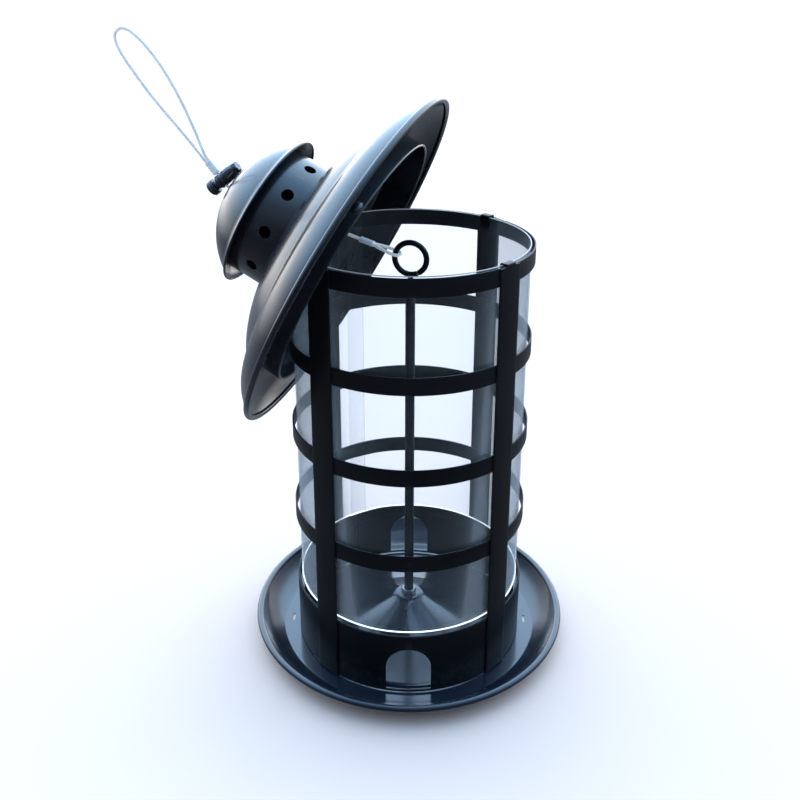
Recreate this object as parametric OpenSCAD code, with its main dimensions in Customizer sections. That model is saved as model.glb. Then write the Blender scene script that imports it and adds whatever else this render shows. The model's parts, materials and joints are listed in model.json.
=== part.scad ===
// Hanging lantern bird feeder with its lid swung open.
// A seed tray carries a round cage of flat straps around a clear seed tube. A rod up the
// middle ends in a ring, and a wire rope from the ring runs out through the lid to a
// hanging loop. A sprung cord lock grips the rope above the lid.
// Millimetres, +Z up, origin at the centre of the tray's underside, front towards -Y.

/* [Cage] */
// Outer radius of the round cage, over its hoops
hoop_r = 86; // [85:0.5:87]
// Height of each flat hoop
hoop_h = 12.5; // [10:0.5:15]
// Thickness of the hoop strap
hoop_t = 1; // [0.8:0.1:1.2]
// Distance from the top of one hoop to the top of the next
hoop_pitch = 66; // [64:0.5:66]
// Height of the band with the feeding ports
band_h = 47.2; // [44:0.2:47.2]
// Width of each upright strap
upright_w = 20; // [16:1:22]
// Thickness of each upright strap
upright_t = 1.2; // [1:0.1:1.4]
// Turn of the uprights away from the diagonals, in degrees
upright_turn = 2.2; // [0:0.1:4]
// Outer radius of the clear seed tube
tube_r = 83; // [82.5:0.1:83.5]
// Thickness of the clear sheet
tube_t = 0.8; // [0.6:0.1:1]

/* [Ports] */
// Width of each feeding port
port_w = 32; // [26:1:34]
// Height of each feeding port
port_h = 35; // [28:1:36]

/* [Tray] */
// Outer radius of the tray over its rolled rim
tray_r = 119; // [116:1:122]
// Height of the middle of the rolled rim
rim_z = 14.8; // [12:0.2:18]
// Radius of the flat floor
floor_r = 97; // [95:1:99]
// Thickness of the sheet metal
sheet_t = 0.8; // [0.6:0.1:0.8]

/* [Rod and ring] */
// Diameter of the middle rod
rod_d = 7; // [6:0.5:8]
// Height of the middle of the ring
ring_z = 299; // [297:0.5:300]
// Radius of the ring to the middle of its wire
ring_r = 11.5; // [11:0.25:12]
// Diameter of the ring's wire
ring_wire = 4; // [3.6:0.2:4]

/* [Lid] */
// Outer radius of the roof over its rolled rim
roof_r = 131.4; // [128:0.2:133]
// Outer radius of the collar that drops over the cage
collar_r = 96.4; // [96:0.1:97]
// Outer radius of the vent collar
vent_r = 47.6; // [46:0.2:49]
// Number of vent holes
vent_count = 10; // [8:1:12]
// Diameter of each vent hole
vent_d = 8.6; // [6:0.2:10]
// Radius of the top cap over its brim
cap_r = 57.1; // [56:0.1:60]
// Height of the cap's tip above the roof's rim
cap_tip = 100; // [99:0.5:101]

/* [Lean of the open lid] */
// Direction in which the lid lies, in degrees from +X
lean_dir = 164; // [160:1:168]
// Tilt of the lid from upright
lean_tilt = 62.5; // [62:0.1:63]

/* [Wire rope] */
// Diameter of the wire rope
rope_d = 2.4; // [2:0.1:2.4]
// Angle of the rope above the lid, in degrees from level
rope_rise = 49.5; // [47:0.5:50]

/* [Hidden] */
$fn = 96;

satin_black = [0.10, 0.12, 0.14];
roof_black = [0.16, 0.19, 0.23];
zinc = [0.72, 0.75, 0.78];
clear_grey = [0.75, 0.8, 0.82, 0.35];

// Cage heights, from the tray floor up
band_z = sheet_t + 1;
band_top = band_z + band_h;
hem_h = 9.5;
hem_t = 0.8;
lug_t = 1;
tube_z = band_top + 1.4;
cage_top = band_top + 4 * hoop_pitch;
tube_top = cage_top + 0.4;
upright_r = hoop_r + upright_t;
tab_w = 8.5;
tab_gap = 0.2;
tab_t = 1;
tab_z = tube_top + tab_gap;
tab_drop = 9;
tab_in = tube_r - tube_t - 0.4;
tab_rise = tab_z + tab_t - cage_top + 1;
lug_in = tube_r - 1.6;
foot_in = 82;
port_up = 1.4;
cut = 1;
upright_at = [45, 135, 225, 315];

// Tray
bead_r = 2.6;
bead_join = [tray_r - bead_r - 1.4, rim_z - 0.9];
side_sag = -1.6;
rod_gap = 0.3;
boss_r = 24;
boss_foot = boss_r + 4;
boss_h = 7;
boss_under = boss_h - sheet_t;
drain_r = 91.3;
drain_end = 3;
drain_w = 3;
drain_at = [-88, 88];

// Seed cone
cone_z = 22.5;
cone_bore = rod_d / 2 + 0.4;
cone_top = [11, cone_z];
cone_knee = [44, 5.2];
cone_edge = [80.5, 2.2];
cone_sags = [-1.2, -0.4];
cone_hem = 1;

// Rod ends
rod_z = 1;
rod_top = ring_z - 20;
jam_nut_w = 8;
jam_nut_h = 3.5;
nut_w = 10;
nut_h = 3.5;
corner_trim = 0.555;
cone_washer_r = 10;
cone_washer_t = 1.2;
base_washer_r = 9;
base_washer_t = 1;
wing_nut_h = boss_under - base_washer_t - rod_z;
wing_root = 5;
wing_end = 13;
wing_t = 2.4;

// Lid, measured along its own axis from the middle of the rolled rim
roof_bead = 2.2;
roof_join = [roof_r - roof_bead - 1.5, 1.6];
crease = [101.5, 18.6];
roof_neck = [vent_r, 40];
roof_sags = [-3.2, -4.6];
neck_fit = 0.1;
collar_low = -3.9;
collar_high = 20.6;
vent_low = 38.6;
vent_hole_h = 53;
vent_turn = 26;
cap_rim_h = 68;
cap_brim = [3.2, 3];
cap_sag = -7;
vent_high = 78.4;
cap_hole_r = 4.8;
grommet_r = cap_hole_r - 0.4;
grommet_h = 4;

// The open lid: the middle of its rim in the swing plane, out from the axis and up
lid_out = 44;
lid_up = 293;
hole = [lid_out + cap_tip * sin(lean_tilt), lid_up + cap_tip * cos(lean_tilt)];
rope_reach = norm([hole[0], hole[1] - ring_z]);
rope_angle = atan2(hole[1] - ring_z, hole[0]);

// The rope's own frame: along the rope from the ring's middle
eye_bend = 3.5;
rope_apart = 1.3;
ferrule_near = 28;
ferrule_len = 10.5;
ferrule_r = 1.75;
lobe = 1.35;
rope_gap = 0.05;
strand_from = ferrule_near + ferrule_len;
bend_at = rope_reach + 2;
bend_r = 7;
bend_angle = rope_rise - rope_angle;
turn_at = bend_at + bend_r * tan(bend_angle / 2);
lock_out = 6.5;
lock_across = -1;
lock_r = 5.4;
ferrule_out = lock_out + lock_r + 0.7;

// Cord lock, along its own barrel
barrel_len = 20;
barrel_back = 4;
barrel_taper = 8;
barrel_end_r = 3.9;
barrel_bore = 3.9;
barrel_floor = 2.6;
plunger_r = 3.6;
plunger_end = 6;
cord_hole = 1.7;
button_r = 5.8;
button_len = 5.5;
button_travel = 3;
button_foot = -barrel_back - button_travel;
spring_r = 2.6;
spring_wire = 0.35;
spring_turns = 5;
spring_from = plunger_end + 0.45;
spring_to = barrel_len - barrel_back - barrel_floor - 0.5;

// Route of the hanging loop in the swing plane, out from the axis and up
loop_route = [
    [152.6, 357.2], [155.2, 360.2], [160, 366], [166.5, 373.6], [174, 382], [183.5, 392.5],
    [194, 404.5], [204, 417.5], [211.5, 428], [216.5, 437], [217.5, 444.5], [212.5, 449],
    [205.5, 447], [197, 440.5], [188, 430.5], [179.5, 418.5], [171.5, 404.5], [165, 391],
    [159.5, 378], [155.8, 368], [153.2, 362], [150.6, 358.9]
];

// A flat ring of strap, with its foot at z = 0
module band(outer, inner, h) {
    difference() {
        cylinder(r = outer, h = h);
        translate([0, 0, -cut]) cylinder(r = inner, h = h + 2 * cut);
    }
}

// A piece of that ring, w wide, at the front
module strap(outer, inner, w, h) {
    intersection() {
        band(outer, inner, h);
        translate([-w / 2, -outer - cut, -cut]) cube([w, outer + cut, h + 2 * cut]);
    }
}

// A hexagon with rounded corners
module hex_nut(w, h, bore) {
    difference() {
        intersection() {
            cylinder(r = w / sqrt(3), h = h, $fn = 6);
            cylinder(r = w * corner_trim, h = h);
        }
        translate([0, 0, -cut]) cylinder(d = bore, h = h + 2 * cut);
    }
}

// Points of an arc from p to q that bulges to its left by sag
function arc_points(p, q, sag, n) =
    let (
        chord = q - p, half = norm(chord) / 2, side = [-chord[1], chord[0]] / (2 * half),
        radius = (half * half + sag * sag) / (2 * sag),
        middle = (p + q) / 2 - side * (radius - sag), reach = asin(half / radius)
    )
    [for (i = [0:n])
        let (a = reach * (1 - 2 * i / n))
        middle + radius * (side * cos(a) - (chord / (2 * half)) * sin(a))];

// The same points, moved down by t for the inner face of a sheet
function lowered(points, t) = [for (i = [len(points) - 1:-1:0]) points[i] - t];

// A sheet of revolution from an open outline
module spun(points, t) {
    rotate_extrude() polygon(concat(points, lowered(points, t)));
}

// Sweep of a round section along a smooth path
function unit(v) = v / norm(v);
function smooth(p, i, t) =
    let (n = len(p), a = p[max(i - 1, 0)], b = p[i], c = p[min(i + 1, n - 1)],
        d = p[min(i + 2, n - 1)])
    0.5 * (2 * b + (c - a) * t + (2 * a - 5 * b + 4 * c - d) * t * t
        + (3 * b - a - 3 * c + d) * t * t * t);
function smooth_path(p, steps) =
    concat([for (i = [0:len(p) - 2]) for (k = [0:steps - 1]) smooth(p, i, k / steps)],
        [p[len(p) - 1]]);
module sweep(path, r, sides, flat) {
    n = len(path);
    rings = [for (i = [0:n - 1])
        let (along = unit(path[min(i + 1, n - 1)] - path[max(i - 1, 0)]),
            across = unit(cross(flat, along)), up = cross(along, across))
        for (k = [0:sides - 1])
            path[i] + r * (across * cos(360 * k / sides) + up * sin(360 * k / sides))];
    walls = [for (i = [0:n - 2]) for (k = [0:sides - 1])
        [i * sides + k, (i + 1) * sides + k, (i + 1) * sides + (k + 1) % sides,
            i * sides + (k + 1) % sides]];
    ends = [[for (k = [0:sides - 1]) k],
        [for (k = [sides - 1:-1:0]) (n - 1) * sides + k]];
    polyhedron(points = rings, faces = concat(walls, ends), convexity = 10);
}

// Frames: the swing plane, the lid, the rope, the rope above the lid
module in_swing_plane() rotate([0, 0, lean_dir]) children();
module on_lid()
    in_swing_plane() translate([lid_out, 0, lid_up]) rotate([0, lean_tilt, 0]) children();
module on_rope()
    in_swing_plane() translate([0, 0, ring_z]) rotate([0, 90 - rope_angle, 0]) children();
module on_rope_top()
    on_rope() translate([0, 0, turn_at]) rotate([0, -bend_angle, 0]) children();

// ---- Tray and cage ----

module tray_sheet() {
    side = arc_points([floor_r, 0], bead_join, side_sag, 8);
    outline = concat([[rod_d / 2 + rod_gap, boss_under], [boss_r, boss_under],
        [boss_foot, 0]], side);
    inside = [for (i = [len(outline) - 1:-1:0]) outline[i] + [0, sheet_t]];
    rotate_extrude() polygon(concat(outline, inside));
    translate([0, 0, rim_z]) rotate_extrude()
        translate([tray_r - bead_r, 0]) circle(r = bead_r);
}

module seed_tray() color(satin_black) difference() {
    tray_sheet();
    for (a = drain_at) rotate([0, 0, a]) translate([0, -drain_r, -cut]) hull()
        for (x = [-drain_end, drain_end]) translate([x, 0, 0])
            cylinder(d = drain_w, h = sheet_t + 2 * cut, $fn = 32);
}

module seed_cone() color(satin_black) {
    upper = arc_points(cone_top, cone_knee, cone_sags[0], 5);
    lower = arc_points(cone_knee, cone_edge, cone_sags[1], 5);
    slopes = concat([[cone_bore, cone_z]], upper, [for (i = [1:len(lower) - 1]) lower[i]]);
    inside = [for (i = [len(slopes) - 1:-1:0]) slopes[i] - [0, sheet_t]];
    rotate_extrude() polygon(concat(slopes, inside));
    translate([0, 0, sheet_t]) band(cone_edge[0], cone_edge[0] - sheet_t, cone_hem);
}

module port() {
    deep = 12;
    arch_z = port_h - port_w / 2;
    translate([0, -hoop_r - deep / 2, port_up]) {
        translate([-port_w / 2, 0, 0]) cube([port_w, deep, arch_z]);
        translate([0, 0, arch_z]) rotate([-90, 0, 0]) cylinder(d = port_w, h = deep);
    }
}

module port_band() color(satin_black) translate([0, 0, band_z]) difference() {
    union() {
        band(hoop_r, hoop_r - hoop_t, band_h);
        translate([0, 0, band_h - hem_h]) band(hoop_r, hoop_r - hoop_t - hem_t, hem_h);
    }
    for (a = [0:90:270]) rotate([0, 0, a]) port();
}

module hoop(k) color(satin_black)
    translate([0, 0, band_top + k * hoop_pitch - hoop_h])
        band(hoop_r, hoop_r - hoop_t, hoop_h);

module upright(k) color(satin_black) rotate([0, 0, upright_at[k] + upright_turn]) {
    translate([0, 0, sheet_t]) strap(upright_r, hoop_r, upright_w, cage_top - sheet_t);
    translate([0, 0, sheet_t]) strap(upright_r, foot_in, upright_w, band_z - sheet_t);
    translate([0, 0, tube_z - lug_t]) strap(upright_r, lug_in, tab_w, lug_t);
    translate([0, 0, cage_top - 1]) strap(upright_r, hoop_r, tab_w, tab_rise);
    translate([0, 0, tab_z]) strap(upright_r, tab_in - tab_t, tab_w, tab_t);
    translate([0, 0, tab_z - tab_drop]) strap(tab_in, tab_in - tab_t, tab_w, tab_drop + tab_t);
}

module seed_tube() color(clear_grey)
    translate([0, 0, tube_z]) band(tube_r, tube_r - tube_t, tube_top - tube_z);

// ---- Rod, ring and fasteners ----

module centre_rod() color(satin_black)
    translate([0, 0, rod_z]) cylinder(d = rod_d, h = rod_top - rod_z);

module eye_ring() color(satin_black) {
    in_swing_plane() translate([0, 0, ring_z]) rotate([90, 0, 0]) rotate_extrude()
        translate([ring_r, 0]) circle(d = ring_wire);
    translate([0, 0, rod_top]) cylinder(d = ring_wire, h = ring_z - ring_r - rod_top);
}

module ring_jam_nut() color(satin_black)
    translate([0, 0, rod_top]) hex_nut(jam_nut_w, jam_nut_h, ring_wire);

module cone_washer() color(satin_black)
    translate([0, 0, cone_z]) band(cone_washer_r, rod_d / 2, cone_washer_t);

module cone_nut() color(zinc)
    translate([0, 0, cone_z + cone_washer_t]) hex_nut(nut_w, nut_h, rod_d);

module base_washer() color(zinc)
    translate([0, 0, boss_under - base_washer_t])
        band(base_washer_r, rod_d / 2, base_washer_t);

module base_wing_nut() color(zinc) translate([0, 0, rod_z]) difference() {
    union() {
        cylinder(r1 = wing_root, r2 = wing_root + 1.5, h = wing_nut_h);
        for (s = [-1, 1]) hull() for (x = [wing_root, wing_end])
            translate([s * x, 0, 0.3]) cylinder(d = wing_t, h = wing_nut_h - 0.6, $fn = 24);
    }
    translate([0, 0, -cut]) cylinder(d = rod_d, h = wing_nut_h + 2 * cut);
}

// ---- Lid ----

module roof() color(roof_black) on_lid() {
    lower = arc_points(roof_join, crease, roof_sags[0], 8);
    upper = arc_points(crease, roof_neck, roof_sags[1], 8);
    skin = concat(lower, [for (i = [1:len(upper) - 1]) upper[i]]);
    spun(skin, [0, sheet_t]);
    rotate_extrude() translate([roof_r - roof_bead, 0]) circle(r = roof_bead);
}

module locating_collar() color(roof_black) on_lid()
    translate([0, 0, collar_low]) band(collar_r, collar_r - sheet_t, collar_high - collar_low);

module vent_collar() color(roof_black) on_lid() difference() {
    neck_r = vent_r - neck_fit;
    deep = 8;
    translate([0, 0, vent_low]) band(neck_r, neck_r - sheet_t, vent_high - vent_low);
    for (i = [0:vent_count - 1]) rotate([0, 0, vent_turn + 360 * i / vent_count])
        translate([vent_r - deep / 2, 0, vent_hole_h]) rotate([0, 90, 0])
            cylinder(d = vent_d, h = deep);
}

module top_cap() color(roof_black) on_lid() {
    brim = [cap_r, cap_rim_h];
    shoulder = brim + [-cap_brim[0], cap_brim[1]];
    dome = arc_points(shoulder, [cap_hole_r, cap_tip], cap_sag, 12);
    spun(concat([brim], dome), [0, sheet_t]);
}

module cable_grommet() color("black") in_swing_plane()
    translate([hole[0], 0, hole[1]]) rotate([0, 90 - rope_angle, 0]) difference() {
        intersection() {
            sphere(r = grommet_r);
            cube([2 * grommet_r + 1, 2 * grommet_r + 1, grommet_h], center = true);
        }
        cylinder(r = cord_hole, h = 3 * grommet_h, center = true);
    }

// ---- Wire rope ----

module cable_eye() color(zinc) on_rope() {
    turn = [for (a = [0:20:180]) [0, eye_bend * cos(a), ring_r - eye_bend * sin(a)]];
    leg = [for (k = [1:5]) [rope_apart + (eye_bend - rope_apart) * (1 - pow(k / 5, 2)),
        ring_r + (ferrule_near - 1 - ring_r) * k / 5]];
    to = ferrule_near - rope_gap;
    path = concat([[0, rope_apart, to]],
        [for (k = [4:-1:0]) [0, leg[k][0], leg[k][1]]],
        turn,
        [for (k = [0:4]) [0, -leg[k][0], leg[k][1]]],
        [[0, -rope_apart, to]]);
    sweep(path, rope_d / 2, 8, [1, 0, 0]);
}

module ferrule() hull() for (s = [-lobe, lobe]) translate([0, s, 0])
    cylinder(r = ferrule_r, h = ferrule_len, $fn = 32);

module lower_ferrule() color(zinc) on_rope()
    translate([0, 0, ferrule_near]) ferrule();

module cable_strand() color(zinc) on_rope() {
    bend = [for (i = [0:6]) let (a = bend_angle * i / 6)
        [bend_r * (cos(a) - 1), 0, bend_at + bend_r * sin(a)]];
    tip = turn_at + ferrule_out * cos(bend_angle);
    path = concat([[0, 0, strand_from]], bend, [[-ferrule_out * sin(bend_angle), 0, tip]]);
    sweep(path, rope_d / 2, 8, [0, 1, 0]);
}

module upper_ferrule() color(zinc) on_rope_top()
    translate([0, 0, ferrule_out]) rotate([0, 0, 90]) ferrule();

module hanging_loop() color(zinc) in_swing_plane() {
    path = smooth_path([for (p = loop_route) [p[0], 0, p[1]]], 3);
    sweep(path, rope_d / 2, 8, [0, 1, 0]);
}

// ---- Cord lock: barrel along X of its own frame, button towards -X ----

module on_lock()
    on_rope_top() translate([lock_across, 0, lock_out]) rotate([0, 0, 180]) children();

// A cylinder along X, from one place to another
module along_x(from, to, r, r2 = 0)
    translate([from, 0, 0]) rotate([0, 90, 0])
        cylinder(r1 = r, r2 = r2 > 0 ? r2 : r, h = to - from);

module cord_way(x) translate([x, 0, 0]) cylinder(r = cord_hole, h = 16, center = true);

module lock_body() color("black") on_lock() difference() {
    taper_from = barrel_len - barrel_back - barrel_taper;
    union() {
        along_x(-barrel_back, taper_from, lock_r);
        along_x(taper_from, taper_from + barrel_taper, lock_r, barrel_end_r);
    }
    along_x(-barrel_back - cut, barrel_len - barrel_back - barrel_floor, barrel_bore);
    cord_way(lock_across);
}

module lock_button() color("black") on_lock() difference() {
    union() {
        along_x(button_foot - button_len, button_foot, button_r);
        along_x(button_foot - cut, plunger_end, plunger_r);
    }
    hull() for (x = [lock_across, lock_across - button_travel]) cord_way(x);
}

module lock_spring() color(zinc) on_lock() {
    last = 360 * spring_turns;
    path = [for (a = [0:20:last]) [spring_from + (spring_to - spring_from) * a / last,
        spring_r * cos(a), spring_r * sin(a)]];
    sweep(path, spring_wire, 6, [1, 0, 0]);
}

seed_tray();
seed_cone();
port_band();
hoop(1);  // lower_hoop
hoop(2);  // lower_middle_hoop
hoop(3);  // upper_middle_hoop
hoop(4);  // top_hoop
upright(0);  // upright_front_right
upright(1);  // upright_back_right
upright(2);  // upright_back_left
upright(3);  // upright_front_left
seed_tube();
centre_rod();
eye_ring();
ring_jam_nut();
cone_washer();
cone_nut();
base_washer();
base_wing_nut();
roof();
locating_collar();
vent_collar();
top_cap();
cable_grommet();
cable_eye();
lower_ferrule();
cable_strand();
upper_ferrule();
hanging_loop();
lock_body();
lock_button();
lock_spring();
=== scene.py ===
import json
import math

import bmesh
import bpy
from mathutils import Matrix, Vector, noise

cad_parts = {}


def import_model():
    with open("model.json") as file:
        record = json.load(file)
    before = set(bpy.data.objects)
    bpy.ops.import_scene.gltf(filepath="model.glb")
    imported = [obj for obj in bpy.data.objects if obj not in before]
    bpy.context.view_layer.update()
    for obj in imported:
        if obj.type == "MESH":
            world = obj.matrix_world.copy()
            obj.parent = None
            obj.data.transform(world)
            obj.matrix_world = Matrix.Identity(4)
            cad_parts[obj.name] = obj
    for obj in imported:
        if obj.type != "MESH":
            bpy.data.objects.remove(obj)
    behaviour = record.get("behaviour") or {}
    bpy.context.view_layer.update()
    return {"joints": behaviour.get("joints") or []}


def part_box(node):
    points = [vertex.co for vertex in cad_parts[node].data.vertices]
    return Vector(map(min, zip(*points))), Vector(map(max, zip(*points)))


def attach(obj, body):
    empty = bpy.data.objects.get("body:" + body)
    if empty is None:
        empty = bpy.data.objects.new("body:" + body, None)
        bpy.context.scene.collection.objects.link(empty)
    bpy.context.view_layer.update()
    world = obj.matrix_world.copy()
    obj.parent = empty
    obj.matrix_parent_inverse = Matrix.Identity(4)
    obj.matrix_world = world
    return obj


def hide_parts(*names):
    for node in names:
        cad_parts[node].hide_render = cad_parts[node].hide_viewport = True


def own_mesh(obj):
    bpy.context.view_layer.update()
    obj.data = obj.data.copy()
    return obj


# Looks of the hanging lantern bird feeder. Shape functions work in millimetres, in the
# local frame of the thing they make, and to_mesh() puts the mesh into the frame in metres.

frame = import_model()
MM = 0.001
JOINTS = {j["name"]: j for j in frame["joints"]}


# ---------------------------------------------------------------- places from the frame

def top_of(node):
    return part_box(node)[1].z / MM


def bottom_of(node):
    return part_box(node)[0].z / MM


def heights_of(node):
    return bottom_of(node), top_of(node)


SWING_AXIS = Vector(JOINTS["cable_swing"]["axis"])
ROPE_WAY = Vector(JOINTS["lid_slide"]["axis"])
LOCK_WAY = Vector(JOINTS["button_press"]["axis"])
RING_AT = Vector(JOINTS["cable_swing"]["pos_m"])
HOLE_AT = Vector(JOINTS["lid_tilt"]["pos_m"])
TURN_AT = Vector(JOINTS["lock_tilt"]["pos_m"])
OUT = SWING_AXIS.cross(Vector((0, 0, 1))) * -1
LEAN = math.atan2(OUT.y, OUT.x)

# How far the open lid leans from upright, and the height of its tip above the roof's rim
LID_TILT = math.radians(62.5)
CAP_TIP = 100.0

SWING_PLANE = Matrix.Rotation(LEAN, 4, "Z")
LID_WAY = OUT * math.sin(LID_TILT) + Vector((0, 0, math.cos(LID_TILT)))
LID = (Matrix.Translation(HOLE_AT - LID_WAY * CAP_TIP * MM) @ SWING_PLANE
       @ Matrix.Rotation(LID_TILT, 4, "Y"))


def along(way, at):
    """A frame at a point, with its Z along way and its Y square to the swing plane."""
    tilt = math.atan2(way.dot(OUT), way.z)
    return Matrix.Translation(at) @ SWING_PLANE @ Matrix.Rotation(tilt, 4, "Y")


ROPE = along(ROPE_WAY, RING_AT)
ROPE_TOP_WAY = LOCK_WAY.cross(SWING_AXIS)
ROPE_TOP = along(ROPE_TOP_WAY, TURN_AT)

# Outer radii of the cage's straps, hoops and clear tube, and the sheet metal's thickness
UPRIGHT_R = 87.2
HOOP_R = 86.0
TUBE_R = 83.0
SHEET = 0.8


# ---------------------------------------------------------------- camera

CAMERA_AT = (0, -0.6346, 0.4969)
CAMERA_YAW = math.radians(0.66)
CAMERA_PITCH = math.radians(19.80)
CAMERA_ROLL = math.radians(0.08)
SENSOR_MM = 36.0
LENS_MM = 43.04
# The lens's axis meets the picture an eighth of its width above the middle
LENS_SHIFT = -0.125


def put(name, data):
    """A new object with this data, in the scene."""
    obj = bpy.data.objects.new(name, data)
    bpy.context.scene.collection.objects.link(obj)
    return obj


def add_camera():
    data = bpy.data.cameras.new("camera")
    camera = put("camera", data)
    data.sensor_width = SENSOR_MM
    data.lens = LENS_MM
    data.shift_y = LENS_SHIFT
    data.clip_start = 0.05
    data.clip_end = 60
    camera.location = CAMERA_AT
    turn = (Matrix.Rotation(CAMERA_YAW, 3, "Z")
            @ Matrix.Rotation(math.pi / 2 - CAMERA_PITCH, 3, "X")
            @ Matrix.Rotation(CAMERA_ROLL, 3, "Z"))
    camera.rotation_euler = turn.to_euler()
    bpy.context.scene.camera = camera


add_camera()


# ---------------------------------------------------------------- mesh tools

def points(*pairs):
    """Vectors from tuples of numbers."""
    return [Vector(p) for p in pairs]


def circle(sides):
    """Angles round a circle."""
    return [math.tau * k / sides for k in range(sides)]


def arc(p, q, sag, n=14):
    """Points of an arc from p to q that bulges to the left of the way by sag."""
    p, q = Vector(p), Vector(q)
    chord = q - p
    half = chord.length / 2
    side = Vector((-chord.y, chord.x)) / (2 * half)
    radius = (half * half + sag * sag) / (2 * sag)
    middle = (p + q) / 2 - side * (radius - sag)
    reach = math.asin(max(-1, min(1, half / radius)))
    way = chord / (2 * half)
    return [middle + radius * (side * math.cos(a) - way * math.sin(a))
            for a in (reach * (1 - 2 * i / n) for i in range(n + 1))]


def curl(centre, radius, start, end, n=18):
    """Points round a centre from one angle to another, in degrees."""
    return [Vector(centre) + radius * Vector((math.cos(a), math.sin(a)))
            for a in (math.radians(start + (end - start) * i / n) for i in range(n + 1))]


def join(*stretches):
    """One path from several, without repeated points."""
    nearest = 0.02
    path = []
    for stretch in stretches:
        for p in stretch:
            p = Vector(p)
            if not path or (p - path[-1]).length > nearest:
                path.append(p)
    return path


def soften(path, radius, n=4):
    """The path with its inner corners rounded."""
    out = [path[0]]
    for a, b, c in zip(path, path[1:], path[2:]):
        u, v = (a - b), (c - b)
        r = min(radius, u.length * 0.45, v.length * 0.45)
        start, end = b + u.normalized() * r, b + v.normalized() * r
        for i in range(n + 1):
            t = i / n
            out.append(start * (1 - t) ** 2 + b * 2 * t * (1 - t) + end * t * t)
    return out + [path[-1]]


def thicken(path, t):
    """The closed outline of a sheet t thick whose middle runs along the path. Its cut ends
    are crowned."""
    crown = 0.3
    left, right = [], []
    for i, p in enumerate(path):
        way = (path[min(i + 1, len(path) - 1)] - path[max(i - 1, 0)]).normalized()
        side = Vector((-way.y, way.x)) * t / 2
        left.append(p + side)
        right.append(p - side)
    first = (path[0] - path[1]).normalized() * t * crown
    last = (path[-1] - path[-2]).normalized() * t * crown
    return [path[0] + first] + left + [path[-1] + last] + right[::-1]


def block(low, high, r=0.18):
    """A closed outline with rounded corners, for the section of a strap."""
    (x0, y0), (x1, y1) = low, high
    r = min(r, (x1 - x0) / 2.2, (y1 - y0) / 2.2)
    corners = [((x1 - r, y0 + r), -90), ((x1 - r, y1 - r), 0), ((x0 + r, y1 - r), 90),
               ((x0 + r, y0 + r), 180)]
    return [p for c, a in corners for p in curl(c, r, a, a + 90, 3)]


def to_mesh(name, verts, faces, where=None, sharp=38):
    """A smooth-shaded object from points in millimetres, put into the frame."""
    mesh = bpy.data.meshes.new(name)
    mesh.from_pydata([tuple(Vector(v) * MM) for v in verts], [], faces)
    work = bmesh.new()
    work.from_mesh(mesh)
    bmesh.ops.remove_doubles(work, verts=work.verts, dist=1e-7)
    bmesh.ops.recalc_face_normals(work, faces=work.faces)
    work.to_mesh(mesh)
    work.free()
    if where is not None:
        mesh.transform(where)
    return finish_object(name, mesh, sharp)


def finish_object(name, mesh, sharp=38):
    """A smooth-shaded object, creased where its faces meet at more than sharp degrees."""
    mesh.shade_smooth()
    mesh.set_sharp_from_angle(angle=math.radians(sharp))
    return put(name, mesh)


def skin(rows, size, closed=False):
    """Faces over rows of points, where each row is a closed loop of the same size. The rows
    join up into a ring, or end in two flat faces."""
    faces = []
    for i in range(rows if closed else rows - 1):
        j = (i + 1) % rows
        for k in range(size):
            m = (k + 1) % size
            faces.append((i * size + k, i * size + m, j * size + m, j * size + k))
    if not closed:
        faces += [tuple(range(size))[::-1], tuple(range((rows - 1) * size, rows * size))]
    return faces


def lathe(name, outline, where=None, steps=224, shape=None, sharp=38, turn=(0, 360)):
    """A solid of revolution from a closed outline of (radius, height). shape(angle, r, z)
    may move a point. A turn of less than a full circle is closed with end faces."""
    m = len(outline)
    whole = turn[1] - turn[0] >= 360
    rows = steps if whole else steps + 1
    verts, faces = [], []
    for i in range(rows):
        a = math.radians(turn[0] + (turn[1] - turn[0]) * i / steps)
        for r, z in outline:
            if shape:
                r, z = shape(a, r, z)
            verts.append((r * math.cos(a), r * math.sin(a), z))
    for i in range(steps):
        j = (i + 1) % rows
        for k in range(m):
            n = (k + 1) % m
            faces.append((i * m + k, j * m + k, j * m + n, i * m + n))
    if not whole:
        faces += [tuple(range(m)), tuple(range((rows - 1) * m, rows * m))[::-1]]
    return to_mesh(name, verts, faces, where, sharp)


def frames_along(path):
    """(point, across, up) at each point of a path, carried along without twist."""
    up = None
    out = []
    for i, p in enumerate(path):
        way = (path[min(i + 1, len(path) - 1)] - path[max(i - 1, 0)]).normalized()
        if up is None:
            up = way.orthogonal().normalized()
        up = (up - way * up.dot(way)).normalized()
        out.append((p, way.cross(up), up))
    return out


def tube_parts(path, radius, sides, verts, faces, closed=False, offset=None):
    """Adds a round tube along a path to verts and faces."""
    base = len(verts)
    rings = frames_along(path)
    n = len(rings)
    for i, (p, across, up) in enumerate(rings):
        r = radius(i / (n - 1)) if callable(radius) else radius
        if offset:
            p = offset(i, p, across, up)
        for a in circle(sides):
            verts.append(p + (across * math.cos(a) + up * math.sin(a)) * r)
    for i in range(n if closed else n - 1):
        j = (i + 1) % n
        for k in range(sides):
            m = (k + 1) % sides
            faces.append((base + i * sides + k, base + j * sides + k,
                          base + j * sides + m, base + i * sides + m))
    if not closed:
        faces.append(tuple(base + k for k in range(sides))[::-1])
        faces.append(tuple(base + (n - 1) * sides + k for k in range(sides)))


def even(path, step):
    """The path again with points a step apart."""
    out, left = [path[0]], step
    for a, b in zip(path, path[1:]):
        length = (b - a).length
        at = left
        while at < length:
            out.append(a.lerp(b, at / length))
            at += step
        left = at - length
    return out + [path[-1]]


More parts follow.
